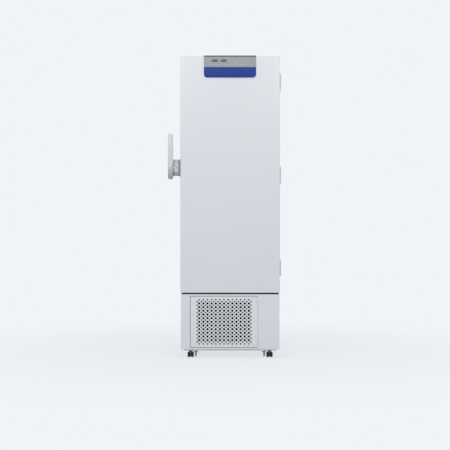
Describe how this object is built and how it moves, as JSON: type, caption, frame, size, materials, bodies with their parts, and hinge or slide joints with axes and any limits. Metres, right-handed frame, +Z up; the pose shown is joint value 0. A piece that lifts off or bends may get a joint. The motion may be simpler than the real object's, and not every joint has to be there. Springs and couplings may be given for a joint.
{
  "type": "ultra low temperature freezer",
  "caption": "Tall upright laboratory freezer with one insulated door, side lever latch, top control panel, perforated filter door, castors and levelling feet.",
  "frame": {"origin": "on the floor, under the middle of the object's bounding box", "axes": "+Z up, +X to the viewer's right, the front with the door faces -Y"},
  "size_m": [0.7519, 0.886, 2],
  "materials": {
    "white_paint": "satin",
    "grey_paint": "satin",
    "dark_paint": "matte",
    "black_paint": "satin",
    "galvanised_steel": "satin",
    "stainless_steel": "satin",
    "bright_steel": "polished",
    "insulation_foam": "matte",
    "white_plastic": "satin",
    "grey_plastic": "satin",
    "light_grey_plastic": "satin",
    "blue_plastic": "gloss",
    "dark_display": "gloss",
    "filter_foam": "matte",
    "copper_tube": "satin",
    "aluminium_fins": "satin",
    "seal_rubber": "matte",
    "black_rubber": "matte",
    "black_plastic": "matte"
  },
  "bodies": {
    "cabinet": {"side_panels": "white_paint", "top_panel": "white_paint", "rear_panel": "white_paint", "cabinet_insulation": "insulation_foam", "inner_liner": "stainless_steel", "breaker_frame": "white_plastic", "evaporator_coil": "copper_tube", "shelf_rails": "stainless_steel", "shelves": "stainless_steel", "access_port": "white_plastic", "chassis_tray": "galvanised_steel", "compartment_roof": "dark_paint", "lower_fascia": "white_paint", "condenser": "aluminium_fins", "fan_shroud": "galvanised_steel", "fan_motor": "dark_paint", "high_stage_compressor": "black_paint", "low_stage_compressor": "black_paint", "oil_separator": "black_paint", "refrigerant_lines": "copper_tube", "cascade_exchanger": "grey_plastic", "control_box": "galvanised_steel", "service_panel": "white_paint", "power_inlet": "black_plastic", "rear_spacers": "black_rubber", "hinge_leaves_cabinet": "grey_paint", "latch_keeper": "galvanised_steel"},
    "door": {"door_skin": "white_paint", "door_insulation": "insulation_foam", "door_liner": "white_plastic", "door_gasket": "seal_rubber", "hinge_leaves_door": "grey_paint", "panel_overlay": "grey_plastic", "accent_band": "blue_plastic", "display_windows": "dark_display", "latch_block": "light_grey_plastic"},
    "lock": {"lock_cylinder": "bright_steel"},
    "handle": {"handle_lever": "grey_paint", "latch_hook": "galvanised_steel"},
    "inner_door_lower": {"inner_door_lower": "white_plastic"},
    "inner_door_upper": {"inner_door_upper": "white_plastic"},
    "fan": {"fan_blades": "black_plastic"},
    "filter": {"filter_door": "white_paint", "filter_mesh": "filter_foam"},
    "key_1": {"control_key_1": "light_grey_plastic"},
    "key_2": {"control_key_2": "light_grey_plastic"},
    "key_3": {"control_key_3": "light_grey_plastic"},
    "key_4": {"control_key_4": "light_grey_plastic"},
    "castor_front_left": {"castor_yoke_front_left": "galvanised_steel"},
    "wheels_front_left": {"castor_wheels_front_left": "black_rubber"},
    "castor_front_right": {"castor_yoke_front_right": "galvanised_steel"},
    "wheels_front_right": {"castor_wheels_front_right": "black_rubber"},
    "castor_rear_left": {"castor_yoke_rear_left": "galvanised_steel"},
    "wheels_rear_left": {"castor_wheels_rear_left": "black_rubber"},
    "castor_rear_right": {"castor_yoke_rear_right": "galvanised_steel"},
    "wheels_rear_right": {"castor_wheels_rear_right": "black_rubber"},
    "foot_left": {"foot_pad_left": "black_rubber"},
    "stem_left": {"foot_stem_left": "galvanised_steel"},
    "foot_right": {"foot_pad_right": "black_rubber"},
    "stem_right": {"foot_stem_right": "galvanised_steel"}
  },
  "joints": [
    {"name": "door_hinge", "type": "hinge", "parent": "cabinet", "child": "door", "pos_m": [0.36945, -0.323, 1.217], "axis": [0, 0, 1], "range_deg": [0, 115]},
    {"name": "handle_turn", "type": "hinge", "parent": "door", "child": "handle", "pos_m": [-0.34325, -0.371, 1.236], "axis": [1, 0, 0], "range_deg": [-18, 62]},
    {"name": "lock_turn", "type": "hinge", "parent": "door", "child": "lock", "pos_m": [-0.32975, -0.423, 1.266], "axis": [0, 1, 0], "range_deg": [0, 90]},
    {"name": "filter_hinge", "type": "hinge", "parent": "cabinet", "child": "filter", "pos_m": [0.21595, -0.429, 0.2425], "axis": [0, 0, 1], "range_deg": [0, 100]},
    {"name": "fan_spin", "type": "hinge", "parent": "cabinet", "child": "fan", "pos_m": [-0.00605, -0.279, 0.2245], "axis": [0, 1, 0], "continuous": true},
    {"name": "inner_hinge_lower", "type": "hinge", "parent": "cabinet", "child": "inner_door_lower", "pos_m": [0.24195, -0.279, 0.8775], "axis": [0, 0, 1], "range_deg": [0, 92]},
    {"name": "inner_hinge_upper", "type": "hinge", "parent": "cabinet", "child": "inner_door_upper", "pos_m": [0.24195, -0.279, 1.5525], "axis": [0, 0, 1], "range_deg": [0, 92]},
    {"name": "key_press_1", "type": "slide", "parent": "door", "child": "key_1", "axis": [0, 1, 0], "range_m": [0, 0.001], "stiffness_N_per_m": 300},
    {"name": "key_press_2", "type": "slide", "parent": "door", "child": "key_2", "axis": [0, 1, 0], "range_m": [0, 0.001], "stiffness_N_per_m": 300},
    {"name": "key_press_3", "type": "slide", "parent": "door", "child": "key_3", "axis": [0, 1, 0], "range_m": [0, 0.001], "stiffness_N_per_m": 300},
    {"name": "key_press_4", "type": "slide", "parent": "door", "child": "key_4", "axis": [0, 1, 0], "range_m": [0, 0.001], "stiffness_N_per_m": 300},
    {"name": "swivel_front_left", "type": "hinge", "parent": "cabinet", "child": "castor_front_left", "pos_m": [-0.22905, -0.335, 0.052], "axis": [0, 0, 1], "continuous": true},
    {"name": "roll_front_left", "type": "hinge", "parent": "castor_front_left", "child": "wheels_front_left", "pos_m": [-0.22905, -0.349, 0.0173], "axis": [1, 0, 0], "continuous": true},
    {"name": "swivel_front_right", "type": "hinge", "parent": "cabinet", "child": "castor_front_right", "pos_m": [0.29695, -0.335, 0.052], "axis": [0, 0, 1], "continuous": true},
    {"name": "roll_front_right", "type": "hinge", "parent": "castor_front_right", "child": "wheels_front_right", "pos_m": [0.29695, -0.349, 0.0173], "axis": [1, 0, 0], "continuous": true},
    {"name": "swivel_rear_left", "type": "hinge", "parent": "cabinet", "child": "castor_rear_left", "pos_m": [-0.22905, 0.341, 0.052], "axis": [0, 0, 1], "continuous": true},
    {"name": "roll_rear_left", "type": "hinge", "parent": "castor_rear_left", "child": "wheels_rear_left", "pos_m": [-0.22905, 0.327, 0.0173], "axis": [1, 0, 0], "continuous": true},
    {"name": "swivel_rear_right", "type": "hinge", "parent": "cabinet", "child": "castor_rear_right", "pos_m": [0.29695, 0.341, 0.052], "axis": [0, 0, 1], "continuous": true},
    {"name": "roll_rear_right", "type": "hinge", "parent": "castor_rear_right", "child": "wheels_rear_right", "pos_m": [0.29695, 0.327, 0.0173], "axis": [1, 0, 0], "continuous": true},
    {"name": "foot_lift_left", "type": "slide", "parent": "cabinet", "child": "foot_left", "axis": [0, 0, -1], "range_m": [0, 0.012]},
    {"name": "foot_turn_left", "type": "hinge", "parent": "foot_left", "child": "stem_left", "pos_m": [-0.19605, -0.285, 0.024], "axis": [0, 0, -1], "range_deg": [0, 2488.6]},
    {"name": "foot_lift_right", "type": "slide", "parent": "cabinet", "child": "foot_right", "axis": [0, 0, -1], "range_m": [0, 0.012]},
    {"name": "foot_turn_right", "type": "hinge", "parent": "foot_right", "child": "stem_right", "pos_m": [0.26395, -0.285, 0.024], "axis": [0, 0, -1], "range_deg": [0, 2488.6]}
  ],
  "couplings": [
    {"joint": "foot_turn_left", "follows": "foot_lift_left", "rad_per_m": 3590.4},
    {"joint": "foot_turn_right", "follows": "foot_lift_right", "rad_per_m": 3590.4},
    {"joint": "inner_hinge_lower", "follows": "door_hinge", "ratio": 0.8},
    {"joint": "inner_hinge_upper", "follows": "door_hinge", "ratio": 0.8}
  ]
}
